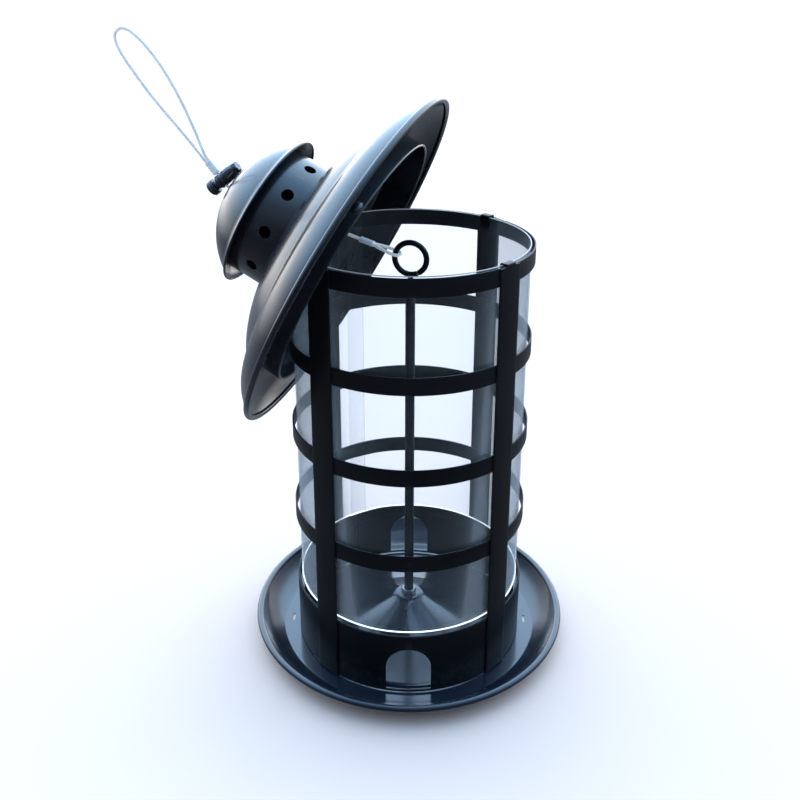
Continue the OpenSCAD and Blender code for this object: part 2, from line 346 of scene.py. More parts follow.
def rope(name, path, diameter, where=None, pitch=10.0, strands=6, sides=7):
    """Wire rope: strands laid in a helix round a core, along a path in millimetres. The
    faces of the core take the rope's second material: a dark one, painted shade in the
    grooves between the strands."""
    turn_steps = 14
    core_sides = 8
    path = even(path, pitch / turn_steps)
    strand_r = diameter / 6 * 0.86
    core_r = strand_r * 1.3
    verts, faces = [], []
    tube_parts(path, core_r, core_sides, verts, faces)
    core_faces = len(faces)
    for s in range(strands):
        def lay(i, p, across, up, s=s):
            a = math.tau * (s / strands + i / turn_steps)
            return p + (across * math.cos(a) + up * math.sin(a)) * (diameter / 2 - strand_r)
        tube_parts(path, strand_r, sides, verts, faces, offset=lay)
    mesh = bpy.data.meshes.new(name)
    mesh.from_pydata([tuple(v * MM) for v in verts], [], faces)
    mesh.materials.append(WIRE)
    mesh.materials.append(ROPE_CORE_SHADE)
    for face in mesh.polygons[:core_faces]:
        face.material_index = 1
    if where is not None:
        mesh.transform(where)
    return finish_object(name, mesh, 60)


def apply_modifiers(obj, sharp=38):
    """The object with its modifiers made part of its mesh."""
    bpy.context.view_layer.update()
    seen = obj.evaluated_get(bpy.context.evaluated_depsgraph_get())
    mesh = bpy.data.meshes.new_from_object(seen)
    obj.modifiers.clear()
    obj.data = mesh
    mesh.shade_smooth()
    mesh.set_sharp_from_angle(angle=math.radians(sharp))
    return obj


def cut(obj, cutters, sharp=38):
    """Takes the cutters out of the object, and deletes them."""
    for cutter in cutters:
        step = obj.modifiers.new("cut", "BOOLEAN")
        step.operation = "DIFFERENCE"
        step.solver = "EXACT"
        step.object = cutter
    apply_modifiers(obj, sharp)
    for cutter in cutters:
        bpy.data.objects.remove(cutter)
    return obj


def merge(name, parts):
    """One object from several, in place."""
    work = bmesh.new()
    for part in parts:
        work.from_mesh(part.data)
        bpy.data.objects.remove(part)
    mesh = bpy.data.meshes.new(name)
    work.to_mesh(mesh)
    work.free()
    return finish_object(name, mesh)


def prism(name, outline, z0, z1, where=None):
    """A straight solid on a closed outline of (x, y)."""
    n = len(outline)
    verts = [(x, y, z0) for x, y in outline] + [(x, y, z1) for x, y in outline]
    faces = [tuple(range(n))[::-1], tuple(range(n, 2 * n))]
    faces += [(k, (k + 1) % n, n + (k + 1) % n, n + k) for k in range(n)]
    return to_mesh(name, verts, faces, where)


# Turns a piece made along Z so that it lies along X
TO_X = Matrix.Rotation(math.pi / 2, 4, "Y")


def facing(azimuth):
    """Turns a piece made at the front, towards -Y, to another azimuth, in degrees."""
    return Matrix.Rotation(math.radians(azimuth), 4, "Z")


def keep(obj, body, material, *nodes, slot=None):
    """Puts a finished piece on its body, in place of its CAD nodes. With no material the
    piece keeps the ones it has."""
    if material:
        obj.data.materials.clear()
        obj.data.materials.append(material)
    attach(obj, body)
    if nodes:
        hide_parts(*nodes)
    return obj


# ---------------------------------------------------------------- materials

class Nodes:
    """The node tree of a material or a world, with short calls to add to it."""

    def __init__(self, owner, shader="Principled BSDF", place="Object"):
        owner.use_nodes = True
        self.tree = owner.node_tree
        self.shader = self.tree.nodes[shader]
        self.place = self.add("ShaderNodeTexCoord").outputs[place]

    def add(self, kind, **settings):
        node = self.tree.nodes.new(kind)
        for key, value in settings.items():
            setattr(node, key, value)
        return node

    def link(self, out, into):
        self.tree.links.new(out, into)

    def set(self, name, value):
        """Sets a socket of the shader to a value, or to what another node gives."""
        socket = self.shader.inputs[name]
        if isinstance(value, bpy.types.NodeSocket):
            self.link(value, socket)
        else:
            socket.default_value = value

    def noise(self, scale, detail=3.0, rough=0.5, stretch=None):
        node = self.add("ShaderNodeTexNoise")
        node.inputs["Scale"].default_value = scale
        node.inputs["Detail"].default_value = detail
        node.inputs["Roughness"].default_value = rough
        at = self.place
        if stretch:
            mapping = self.add("ShaderNodeMapping")
            mapping.inputs["Scale"].default_value = stretch
            self.link(at, mapping.inputs["Vector"])
            at = mapping.outputs["Vector"]
        self.link(at, node.inputs["Vector"])
        return node.outputs["Fac"]

    def span(self, value, low, high, new_low, new_high):
        node = self.add("ShaderNodeMapRange")
        for key, number in (("From Min", low), ("From Max", high),
                            ("To Min", new_low), ("To Max", new_high)):
            node.inputs[key].default_value = number
        self.link(value, node.inputs["Value"])
        return node.outputs["Result"]

    def math(self, kind, a, b):
        node = self.add("ShaderNodeMath", operation=kind)
        for socket, value in zip(node.inputs, (a, b)):
            if isinstance(value, (int, float)):
                socket.default_value = value
            else:
                self.link(value, socket)
        return node.outputs[0]

    def mix(self, share, a, b):
        node = self.add("ShaderNodeMix", data_type="RGBA")
        self.link(share, node.inputs["Factor"])
        for key, value in (("A", a), ("B", b)):
            socket = [s for s in node.inputs if s.name == key and s.type == "RGBA"][0]
            if isinstance(value, tuple):
                socket.default_value = (*value, 1)
            else:
                self.link(value, socket)
        return [s for s in node.outputs if s.type == "RGBA"][0]

    def bump(self, height, distance, strength=1.0, below=None):
        node = self.add("ShaderNodeBump")
        node.inputs["Distance"].default_value = distance
        node.inputs["Strength"].default_value = strength
        self.link(height, node.inputs["Height"])
        if below is not None:
            self.link(below, node.inputs["Normal"])
        return node.outputs["Normal"]

    def ramp(self, share, stops):
        """A colour that runs through stops of (place, colour) while share goes from 0 to 1."""
        node = self.add("ShaderNodeValToRGB")
        while len(node.color_ramp.elements) < len(stops):
            node.color_ramp.elements.new(0.5)
        for element, (at, colour) in zip(node.color_ramp.elements, stops):
            element.position = at
            element.color = (*colour, 1)
        self.link(share, node.inputs["Fac"])
        return node.outputs["Color"]

    def split(self, vector):
        node = self.add("ShaderNodeSeparateXYZ")
        self.link(vector, node.inputs["Vector"])
        return node.outputs

    def upward(self):
        """1 on what faces up, 0 on walls and undersides."""
        normal = self.add("ShaderNodeNewGeometry").outputs["Normal"]
        return self.span(self.split(normal)["Z"], 0.35, 0.95, 0, 1)

    def edges(self, low=0.53, high=0.62):
        """1 on outer edges, 0 on flats and in corners."""
        point = self.add("ShaderNodeNewGeometry").outputs["Pointiness"]
        return self.span(point, low, high, 0, 1)


DUST = (0.30, 0.29, 0.27)


def powder_coat(name, base, high, rough=0.34, shine=0.5, coat=0.25, dust=0.12):
    """Satin black powder coat: fine orange peel, slow colour drift, dust and rubbed edges."""
    made = bpy.data.materials.new(name)
    n = Nodes(made)
    drift = n.noise(14, 4)
    grain = n.noise(900, 2)
    colour = n.mix(n.span(drift, 0.3, 0.7, 0, 1), base, high)
    rubbed = n.math("MULTIPLY", n.edges(), n.span(n.noise(240, 4), 0.45, 0.7, 0, 0.5))
    colour = n.mix(rubbed, colour, tuple(min(1, c * 4 + 0.02) for c in high))
    specks = n.span(n.noise(520, 5, 0.7), 0.62, 0.72, 0, 1)
    film = n.span(n.noise(38, 5, 0.6), 0.42, 0.75, 0, 0.6)
    dusty = n.math("MULTIPLY", n.upward(), n.math("ADD", n.math("MULTIPLY", specks, 0.5), film))
    dusty = n.math("MULTIPLY", dusty, dust)
    colour = n.mix(dusty, colour, DUST)
    n.set("Base Color", colour)
    matt = n.math("ADD", n.span(drift, 0.2, 0.8, rough - 0.05, rough + 0.05),
                  n.math("MULTIPLY", dusty, 1.5))
    n.set("Roughness", matt)
    n.set("Specular IOR Level", shine)
    n.set("Coat Weight", coat)
    n.set("Coat Roughness", 0.12)
    slow = n.bump(n.noise(30, 2), 0.0006, 0.15)
    n.set("Normal", n.bump(grain, 0.00006, 0.14, slow))
    return made


def clear_sheet():
    """Clear rolled plastic: sees through, with glancing reflections, haze and fine rubs."""
    most_gloss = 0.45
    made = bpy.data.materials.new("clear_sheet")
    n = Nodes(made)
    n.set("Base Color", (0.40, 0.44, 0.46, 1))
    n.set("Roughness", 0.04)
    clear = n.add("ShaderNodeBsdfTransparent")
    clear.inputs["Color"].default_value = (0.965, 0.972, 0.975, 1)
    glance = n.add("ShaderNodeFresnel")
    glance.inputs["IOR"].default_value = 1.33
    rubs = n.noise(60, 6, 0.65, (3, 3, 0.35))
    haze = n.span(n.noise(9, 4), 0.3, 0.8, 0.0, 0.02)
    marks = n.span(rubs, 0.64, 0.76, 0.0, 0.05)
    share = n.math("ADD", n.math("ADD", glance.outputs[0], haze), marks)
    mixer = n.add("ShaderNodeMixShader")
    n.link(n.math("MINIMUM", share, most_gloss), mixer.inputs[0])
    n.link(clear.outputs[0], mixer.inputs[1])
    n.link(n.shader.outputs[0], mixer.inputs[2])
    n.link(mixer.outputs[0], n.tree.nodes["Material Output"].inputs["Surface"])
    n.set("Normal", n.bump(n.noise(7, 2), 0.002, 0.25))
    return made


def cut_edge(name, tone, gleam):
    """A cut edge of the clear sheet, painted to glow: it emits light that stands in for the
    light the sheet carries. A low tone and gleam make a darker copy, with painted shade.
    """
    made = bpy.data.materials.new(name)
    n = Nodes(made)
    pale = tuple(c * tone for c in (0.93, 0.97, 1.0))
    dull = tuple(c * tone for c in (0.70, 0.78, 0.82))
    n.set("Base Color", n.mix(n.noise(120, 4), dull, pale))
    n.set("Roughness", n.span(n.noise(300, 3), 0.3, 0.7, 0.18, 0.4))
    # Painted glow: the edge emits light though it is no lamp
    n.set("Emission Color", (0.85, 0.94, 1.0, 1))
    n.set("Emission Strength", gleam)
    return made


def bare_metal(name, low, high, rough=0.3, scale=260, metallic=1.0, bump=0.00003):
    """Plated or pressed metal, blotched, with a fine tooth."""
    made = bpy.data.materials.new(name)
    n = Nodes(made)
    blotch = n.noise(scale, 5, 0.6)
    n.set("Base Color", n.mix(n.span(blotch, 0.3, 0.7, 0, 1), low, high))
    n.set("Metallic", metallic)
    n.set("Roughness", n.span(blotch, 0.2, 0.8, rough - 0.08, rough + 0.14))
    n.set("Normal", n.bump(n.noise(scale * 3, 3, 0.6), bump, 0.8))
    return made


def wire():
    """Galvanised wire: pale and blotched with a fine tooth. It glows a little, because the
    photo has it over-exposed."""
    dull, bright = (0.68, 0.68, 0.66), (0.90, 0.89, 0.86)
    made = bpy.data.materials.new("galvanised_rope")
    n = Nodes(made)
    spots = n.noise(420, 4)
    n.set("Base Color", n.mix(n.span(spots, 0.35, 0.7, 0, 1), dull, bright))
    n.set("Emission Color", (0.90, 0.95, 1.0, 1))
    n.set("Emission Strength", 0.12)
    n.set("Roughness", n.span(spots, 0.2, 0.8, 0.3, 0.5))
    n.set("Normal", n.bump(n.noise(3200, 2), 0.00004, 0.6))
    return made


def moulded(name, base, high, rough=0.42, shine=0.5):
    """Moulded black plastic or rubber: fine spark texture, and a clear coat where shine is
    over a half."""
    made = bpy.data.materials.new(name)
    n = Nodes(made)
    n.set("Specular IOR Level", shine)
    n.set("Coat Weight", max(0.0, shine - 0.5))
    n.set("Coat Roughness", 0.2)
    n.set("Base Color", n.mix(n.span(n.noise(90, 4), 0.3, 0.7, 0, 1), base, high))
    n.set("Roughness", n.span(n.noise(500, 3), 0.3, 0.7, rough - 0.1, rough + 0.1))
    n.set("Normal", n.bump(n.noise(2600, 2), 0.00003, 0.7))
    return made


CAGE_COAT = powder_coat("cage_powder_coat", (0.003, 0.0035, 0.0045), (0.006, 0.007, 0.009),
                        shine=0.2, coat=0.0, dust=0.05)
SPUN_COAT = powder_coat("spun_powder_coat", (0.006, 0.010, 0.018), (0.011, 0.017, 0.028),
                        rough=0.20, shine=0.6, coat=0.6, dust=0.03)
ROOF_COAT = powder_coat("roof_powder_coat", (0.004, 0.006, 0.009), (0.008, 0.012, 0.017),
                        rough=0.27, shine=0.6, coat=0.6, dust=0.04)
CLEAR = clear_sheet()
# Painted light: the lower cut edge of the clear sheet glows
CLEAR_EDGE_GLOW = cut_edge("clear_edge_painted_glow", 1.0, 1.0)
# Painted shade: the top cut edge is a darker copy of the same edge, with less glow
CLEAR_TOP_SHADED = cut_edge("clear_top_edge_painted_shade", 0.35, 0.12)
ZINC = bare_metal("zinc_plate", (0.26, 0.27, 0.27), (0.46, 0.47, 0.48), 0.38)
ALUMINIUM = bare_metal("pressed_aluminium", (0.70, 0.71, 0.71), (0.95, 0.95, 0.93), 0.3, 500,
                       metallic=0.2)
WIRE = wire()
# Painted shade: the rope's core is dark so that the grooves between the strands look shaded
ROPE_CORE_SHADE = bare_metal("rope_core_painted_shade", (0.10, 0.11, 0.12), (0.20, 0.21, 0.23), 0.5, 600, 0.3)
PLASTIC = moulded("black_moulding", (0.010, 0.011, 0.013), (0.020, 0.022, 0.026), 0.26, 1.0)
RUBBER = moulded("black_rubber", (0.012, 0.012, 0.012), (0.022, 0.022, 0.022), 0.7)


# ---------------------------------------------------------------- the hanging loop

ROPE_D = 2.4
# Middle of the rope as (out, up) in the swing plane, from the sleeve round and back
LOOP_ROUTE = [
    (152.6, 357.2), (155.2, 360.2), (160, 366), (166.5, 373.6), (174, 382), (183.5, 392.5),
    (194, 404.5), (204, 417.5), (211.5, 428), (216.5, 437), (217.4, 444.5), (212.4, 448.8),
    (205.5, 447), (197, 440.5), (188, 430.5), (179.5, 418.5), (171.5, 404.5), (165, 391),
    (159.5, 378), (155.8, 368), (153.2, 362), (150.6, 358.9),
]


def smooth_path(knots, steps):
    """A smooth curve through the knots, as the part's own sweep draws it."""
    n = len(knots)
    out = []
    for i in range(n - 1):
        a, b = knots[max(i - 1, 0)], knots[i]
        c, d = knots[i + 1], knots[min(i + 2, n - 1)]
        for k in range(steps):
            t = k / steps
            out.append((2 * b + (c - a) * t + (2 * a - 5 * b + 4 * c - d) * t * t
                        + (3 * b - a - 3 * c + d) * t ** 3) / 2)
    return out + [knots[-1]]


def hanging_loop():
    route = smooth_path([Vector((x, 0, z)) for x, z in LOOP_ROUTE], 8)
    piece = rope("hanging_loop_rope", route, ROPE_D, SWING_PLANE)
    keep(piece, "cable", None, "hanging_loop", slot="wire_rope")


hanging_loop()


# ---------------------------------------------------------------- wire rope and ferrules

# Where the lower sleeve starts along the rope, and the upper one above the rope's bend
FERRULE_FROM = 28.0
FERRULE_OUT = 12.6
FERRULE_LEN = 10.5
LOBE_R = 1.72
LOBE_OUT = 1.35
# The rope's eye: depth of its bend, half its width, and half the gap between its legs
EYE_BEND = 3.5
EYE_WIDE = 5.0
EYE_GAP = 1.3
RING_R = 11.5


def cable_eye():
    """The rope's eye round the ring: both legs run from the sleeve to a half turn."""
    span = FERRULE_FROM - 1 - RING_R
    legs = [(EYE_GAP + (EYE_WIDE - EYE_GAP) * (1 - (k / 5) ** 2), RING_R + span * k / 5)
            for k in range(5, 0, -1)]
    turn = [Vector((0, EYE_WIDE * math.cos(a), RING_R - EYE_BEND * math.sin(a)))
            for a in (math.radians(20 * i) for i in range(10))]
    path = ([Vector((0, EYE_GAP, FERRULE_FROM + 1))] + [Vector((0, y, z)) for y, z in legs]
            + turn + [Vector((0, -y, z)) for y, z in legs[::-1]]
            + [Vector((0, -EYE_GAP, FERRULE_FROM + 1))])
    piece = rope("cable_eye_rope", smooth_path(path, 4), ROPE_D, ROPE)
    keep(piece, "cable", None, "cable_eye", slot="wire_rope")


def cable_strand():
    """The rope from one sleeve to the other, with the bend above the lid's hole."""
    turn = (ROPE.inverted() @ TURN_AT) / MM
    tip = ROPE.inverted() @ (ROPE_TOP @ Vector((0, 0, FERRULE_OUT * MM))) / MM
    start = Vector((0, 0, FERRULE_FROM + FERRULE_LEN - 1))
    piece = rope("cable_strand_rope", soften([start, turn, tip], 2.1, 6), ROPE_D, ROPE)
    keep(piece, "cable", None, "cable_strand", slot="wire_rope")


def ferrule(name, where, node, turned=False):
    """A pressed aluminium sleeve: two round lobes, squeezed in two places along it."""
    squeeze, squeeze_wide = 0.10, 0.06
    sides, rings = 40, 30
    verts = []
    for i in range(rings + 1):
        t = i / rings
        press = 1
        for at in (0.3, 0.7):
            press -= squeeze * math.exp(-((t - at) / squeeze_wide) ** 2)
        end = min(t, 1 - t) * rings
        press *= 0.90 + 0.10 * min(1, end / 1.5)
        for a in circle(sides):
            x = LOBE_R * press * math.cos(a)
            y = math.copysign(LOBE_OUT + LOBE_R * press * abs(math.sin(a)), math.sin(a))
            if abs(math.sin(a)) < 1e-6:
                y = 0
            z = FERRULE_LEN * t
            verts.append((y, x, z) if turned else (x, y, z))
    piece = to_mesh(name, verts, skin(rings + 1, sides), where)
    keep(piece, "cable", ALUMINIUM, node, slot="aluminium_ferrule")


cable_eye()
cable_strand()
ferrule("lower_ferrule_sleeve", ROPE @ Matrix.Translation((0, 0, FERRULE_FROM * MM)),
        "lower_ferrule")
ferrule("upper_ferrule_sleeve", ROPE_TOP @ Matrix.Translation((0, 0, FERRULE_OUT * MM)),
        "upper_ferrule", turned=True)


# ---------------------------------------------------------------- tray and cone

TRAY_R = 119
TRAY_FLOOR_R = 97
TRAY_BEAD = 2.6
RIM_Z = 14.8
# Middle of the tray's sheet over its boss, and the boss's top and foot radii
BOSS_Z = 6.6
BOSS_TOP_R = 23.6
BOSS_FOOT_R = 28.2
DRAIN_AT = 91.3
CONE_Z = 22.1


def seed_tray():
    rim = (TRAY_R - TRAY_BEAD, RIM_Z)
    floor = SHEET / 2
    inner = soften(points((4.2, BOSS_Z), (BOSS_TOP_R, BOSS_Z), (BOSS_FOOT_R, floor),
                          (92, floor), (96.6, floor)), 2.2, 5)
    side = arc((TRAY_FLOOR_R, floor), (rim[0] - 2.15, RIM_Z - 0.5), -1.7)
    path = join(inner, side, curl(rim, TRAY_BEAD - SHEET / 2, 193, -150, 30))
    tray = lathe("seed_tray_sheet", thicken(path, SHEET), steps=256)
    slots = []
    for azimuth in (-88, 88):
        ends = curl((3, 0), 1.0, -90, 90, 10) + curl((-3, 0), 1.0, 90, 270, 10)
        where = facing(azimuth) @ Matrix.Translation((0, -DRAIN_AT * MM, 0))
        slots.append(prism("slot", ends, -2, 3, where))
    keep(cut(tray, slots), "base", SPUN_COAT, "seed_tray", slot="black_steel")


def seed_cone():
    """A flat seat for the washer, a steep middle, a nearly flat skirt and a turned-down hem."""
    seat = points((4.1, CONE_Z), (7.5, CONE_Z), (10.4, CONE_Z))
    upper = arc((11.2, CONE_Z - 0.3), (43.6, 4.95), -1.2)
    lower = arc((44.6, 4.75), (79.6, 1.9), -0.4)
    hem = points((80.1, 1.8), (80.1, 0.9))
    path = join(seat, upper, lower, hem)
    keep(lathe("seed_cone_sheet", thicken(path, SHEET)), "base", SPUN_COAT, "seed_cone",
         slot="black_steel")


seed_tray()
seed_cone()


# ---------------------------------------------------------------- cage

PORT_W, PORT_H = 32.0, 35.0
# Height of a port's sill over the band's lower edge, and of the band's folded hem
PORT_SILL = 1.4
HEM_H = 9.5
# Azimuth of the seams where the hoops, the band and the clear sheet lap
SEAM_AT = 207


def lap(name, low, high, outer, width=15.0):
    """The lapped end of a rolled strap, on its inside, with two pressed spots."""
    spot_depth, spot_wide = 0.35, 1.3
    half = math.degrees(width / 2 / outer)
    middle = SEAM_AT - 90

    def pressed(a, r, z):
        for dz in (0.28, 0.72):
            dx = math.degrees(a) - middle
            gap = math.hypot(dx * outer * math.pi / 180, z - (low + (high - low) * dz))
            r += spot_depth * math.exp(-(gap / spot_wide) ** 2)
        return r, z

    rows = 8
    outline = ([Vector((outer, low + (high - low) * i / rows)) for i in range(rows + 1)]
               + [Vector((outer - 0.7, high - (high - low) * i / rows))
                  for i in range(rows + 1)])
    return lathe(name, outline, steps=20, shape=pressed, turn=(middle - half, middle + half))


def port_band():
    """The lower band, with its top edge folded in and down, and an arched port each way."""
    low, high = heights_of("port_band")
    hem = high - HEM_H
    outline = join(
        [(HOOP_R, low), (HOOP_R, high - 0.6)], curl((HOOP_R - 0.9, high - 0.9), 0.9, 0, 180, 10),
        [(HOOP_R - 1.8, high - 9.0), (HOOP_R - 1.5, hem), (HOOP_R - 1.0, hem)],
        [(HOOP_R - 1.0, low)])
    band = lathe("port_band_sheet", outline, steps=256)
    cutters = []
    arch = (points((-PORT_W / 2, 0), (PORT_W / 2, 0))
            + curl((0, PORT_H - PORT_W / 2), PORT_W / 2, 0, 180, 40))
    for azimuth in (0, 90, 180, 270):
        stand = Matrix.Translation((0, -80 * MM, (low + PORT_SILL) * MM)) @ Matrix.Rotation(
            math.pi / 2, 4, "X")
        cutters.append(prism("port", arch, -10, 14, facing(azimuth) @ stand))
    cut(band, cutters)
    piece = merge("port_band_sheet", [band, lap("lap", low + 1, high - 10, HOOP_R - 1.0, 12)])
    keep(piece, "base", CAGE_COAT, "port_band", slot="black_steel")


def hoops():
    for node in ("lower_hoop", "lower_middle_hoop", "upper_middle_hoop", "top_hoop"):
        low, high = heights_of(node)
        ring = lathe(node + "_strap", block((HOOP_R - 1, low), (HOOP_R, high), 0.3), steps=256)
        piece = merge(node + "_strap", [ring, lap("lap", low + 0.3, high - 0.3, HOOP_R - 0.95)])
        keep(piece, "base", CAGE_COAT, node, slot="black_steel")


def bent_strap(name, path, widths, t, columns=10):
    """A strap bent along a path of (radius, height), as wide as widths say, that follows
    the cage round across its width."""
    verts = []
    n = len(path)
    for i, p in enumerate(path):
        way = (path[min(i + 1, n - 1)] - path[max(i - 1, 0)]).normalized()
        side = Vector((way.y, -way.x)) * t / 2
        for face in (1, -1):
            for k in range(columns + 1):
                step = k if face == 1 else columns - k
                across = widths[i] * (step / columns - 0.5)
                q = p + side * face
                a = across / UPRIGHT_R
                verts.append((q.x * math.sin(a), -q.x * math.cos(a), q.y))
    return to_mesh(name, verts, skin(n, 2 * (columns + 1)), None, 30)


def round_edges(obj, width, segments=2):
    """The object with its sharp edges rounded."""
    step = obj.modifiers.new("round", "BEVEL")
    step.width = width * MM
    step.segments = segments
    step.limit_method = "ANGLE"
    step.angle_limit = math.radians(40)
    return apply_modifiers(obj, 30)


UPRIGHT_T = 1.2
UPRIGHT_W = 20.0
UPRIGHT_TURN = 2.2
# The narrow end that hooks over the hoop and tube: its width, and where it comes down
HOOK_W = 8.5
HOOK_R = 81.3
HOOK_DROP = 8.6
LUG_Z = 49.9


def uprights():
    """Four straps: a foot on the tray, a hook over the top, and a lug under the tube."""
    outer = UPRIGHT_R - UPRIGHT_T / 2
    shoulder = top_of("top_hoop")
    top = top_of("upright_front_left") - 0.5
    sole = SHEET + 0.6
    stem = soften(points((82.2, sole), (outer, sole), (outer, 9)), 1.4, 5)
    rise = [Vector((outer, z)) for z in range(20, 310, 10)]
    neck = points((outer, shoulder - 0.4), (outer, shoulder + 0.2))
    fold = soften(points((outer, shoulder + 0.6), (outer, top), (HOOK_R, top),
                         (HOOK_R, top - HOOK_DROP)), 1.3, 6)
    path = stem + rise + neck + fold
    widths = [UPRIGHT_W] * (len(stem) + len(rise) + 1) + [HOOK_W] * (1 + len(fold))
    for node, azimuth in (("upright_front_right", 45), ("upright_back_right", 135),
                          ("upright_back_left", 225), ("upright_front_left", 315)):
        strap = bent_strap("strap", path, widths, UPRIGHT_T)
        round_edges(strap, 0.22)
        lug = bent_strap("lug", points((86.4, LUG_Z), (84, LUG_Z), (81.6, LUG_Z)),
                         [HOOK_W] * 3, 1.0, 4)
        piece = merge(node + "_strap", [strap, lug])
        piece.data.transform(facing(azimuth + UPRIGHT_TURN))
        keep(piece, "base", CAGE_COAT, node, slot="black_steel")


def seed_tube():
    """One sheet rolled round once, with its end lapped inside its start. It wavers a little,
    and its two cut edges take materials of their own."""
    low, high = heights_of("seed_tube")
    t, lap_angle, steps, rim = 0.8, 10.0, 260, 0.5
    tuck_from, tuck_over, lap_gap, waver_by = 352, 8, 0.06, 0.10
    levels = [low, low + rim] + [low + rim + (high - low - 2 * rim) * k / 10
                                 for k in range(1, 11)] + [high]
    rows = len(levels) - 1
    start = SEAM_AT - 90
    verts = []
    for i in range(steps + 1):
        turned = (360 + lap_angle) * i / steps
        a = math.radians(start + turned)
        tuck = max(0.0, min(1.0, (turned - tuck_from) / tuck_over)) * (t + lap_gap)
        waver = waver_by * noise.noise(Vector((math.cos(a) * 2, math.sin(a) * 2, 0)))
        for r, way in ((TUBE_R - tuck, 1), (TUBE_R - t - tuck, -1)):
            for k in range(rows + 1):
                z = levels[k if way == 1 else rows - k]
                verts.append(((r + waver) * math.cos(a), (r + waver) * math.sin(a), z))
    tube = to_mesh("seed_tube_sheet", verts, skin(steps + 1, 2 * (rows + 1)), None, 30)
    keep(tube, "base", CLEAR, "seed_tube", slot="clear_sheet")
    # The lower cut edge takes the painted glow, and the top one the darker copy with painted
    # shade
    tube.data.materials.append(CLEAR_EDGE_GLOW)
    tube.data.materials.append(CLEAR_TOP_SHADED)
    for face in tube.data.polygons:
        z = face.center.z / MM
        if z < low + rim:
            face.material_index = 1
        if z > high - rim:
            face.material_index = 2


port_band()
hoops()
uprights()
seed_tube()


# ---------------------------------------------------------------- rod, ring and fasteners

ROD_R = 3.5
ROD_BORE = 3.55
WASHER_BORE = 3.6
THREAD_LOW, THREAD_HIGH = 23.0, 31.0
THREAD_DEPTH = 0.42
RING_STEM = 19.4


def centre_rod():
    """A rod along Z with a thread cut into one stretch of it and chamfered ends."""
    pitch, sides, chamfer = 1.0, 40, 0.4
    low, high = heights_of("centre_rod")
    zs = [low, low + chamfer]
    z = max(low + 0.6, THREAD_LOW)
    while z < THREAD_HIGH:
        zs.append(z)
        z += pitch / 6
    zs += [THREAD_HIGH + 0.3, high - chamfer, high]
    verts = []
    for z in zs:
        ends = chamfer if z in (low, high) else 0.0
        for k, a in enumerate(circle(sides)):
            r = ROD_R - ends
            if THREAD_LOW <= z <= THREAD_HIGH:
                turn = (z / pitch - k / sides) % 1
                r -= THREAD_DEPTH * abs(2 * turn - 1)
            verts.append((r * math.cos(a), r * math.sin(a), z))
    rod = to_mesh("centre_rod_bar", verts, skin(len(zs), sides), None, 50)
    keep(rod, "base", CAGE_COAT, "centre_rod", slot="black_steel")


def eye_ring():
    """A ring bent from rod on a stem, with the open butt of its two ends at the lower
    right."""
    gap, butt = 4.0, -62
    start, end = butt + gap / 2, butt + 360 - gap / 2
    path = [Vector((RING_R * math.cos(a), 0, RING_R * math.sin(a)))
            for a in (math.radians(start + (end - start) * i / 90) for i in range(91))]
    verts, faces = [], []
    tube_parts(path, lambda t: 2.0 - 0.25 * (min(t, 1 - t) < 0.002), 24, verts, faces)
    stem = [Vector((0, 0, -RING_STEM + 8.6 * i / 8)) for i in range(9)]
    tube_parts(stem, lambda t: 1.95 + 0.9 * max(0, t - 0.7), 20, verts, faces)
    mesh_at = Matrix.Translation(RING_AT) @ SWING_PLANE @ Matrix.Rotation(math.pi, 4, "Z")
    ring = to_mesh("eye_ring_wire", verts, faces, mesh_at)
    keep(ring, "base", CAGE_COAT, "eye_ring", slot="black_steel")


def hex_nut(name, width, node, bore, material, slot):
    """A hexagon nut with both faces chamfered and a lead-in at its bore."""
    low, high = heights_of(node)
    height = high - low
    sides, lead = 96, 0.35
    outline_z = [0, 0.06, 0.16, 0.5, 0.84, 0.94, 1]
    verts = []

    def hexagon(a):
        slice_angle = (a % (math.pi / 3)) - math.pi / 6
        return width / 2 / math.cos(slice_angle)

    for share in outline_z:
        edge = min(share, 1 - share) * height
        for a in circle(sides):
            r = min(hexagon(a), width / 2 * 0.97 + edge * 1.9)
            verts.append((r * math.cos(a), r * math.sin(a), low + share * height))
    for r, z in ((bore + lead, high), (bore, high - lead), (bore, low + lead),
                 (bore + lead, low)):
        for a in circle(sides):
            verts.append((r * math.cos(a), r * math.sin(a), z))
    piece = to_mesh(name, verts, skin(len(outline_z) + 4, sides, closed=True), None, 25)
    keep(piece, "base", material, node, slot=slot)


def washer(name, node, outer, inner, material, slot):
    low, high = heights_of(node)
    outline = block((inner, low), (outer, high), 0.3)
    keep(lathe(name, outline, steps=96), "base", material, node, slot=slot)


def wing_nut():
    low, high = heights_of("base_wing_nut")
    wing_to, wing_from, wing_half = 12.6, 4.2, 1.0
    hub = lathe("hub", join([(ROD_BORE, low), (4.8, low)], [(6.4, high - 0.3), (6.1, high)],
                            [(ROD_BORE, high)]), steps=64)
    wings = []
    for turn in (0, math.pi):
        outline = join([(wing_from, -wing_half)], curl((wing_to, 0), 1.3, -90, 90, 10),
                       [(wing_from, wing_half)])
        wing = prism("wing", outline, low + 0.3, high - 0.4, Matrix.Rotation(turn, 4, "Z"))
        wings.append(round_edges(wing, 0.5, 3))
    keep(merge("base_wing_nut_casting", [hub] + wings), "base", ZINC, "base_wing_nut",
         slot="zinc_steel")


centre_rod()
eye_ring()
hex_nut("ring_jam_nut_hex", 8, "ring_jam_nut", 2.05, CAGE_COAT, "black_steel")
hex_nut("cone_nut_hex", 10, "cone_nut", ROD_BORE, ZINC, "zinc_steel")
washer("cone_washer_disc", "cone_washer", 10.0, WASHER_BORE, SPUN_COAT, "black_steel")
washer("base_washer_disc", "base_washer", 9.0, WASHER_BORE, ZINC, "zinc_steel")
wing_nut()


# ---------------------------------------------------------------- lid

# Heights in the lid are above the middle of the roof's rolled rim
ROOF_R = 131.38
ROOF_BEAD = 2.2
ROOF_TOP = 40.0
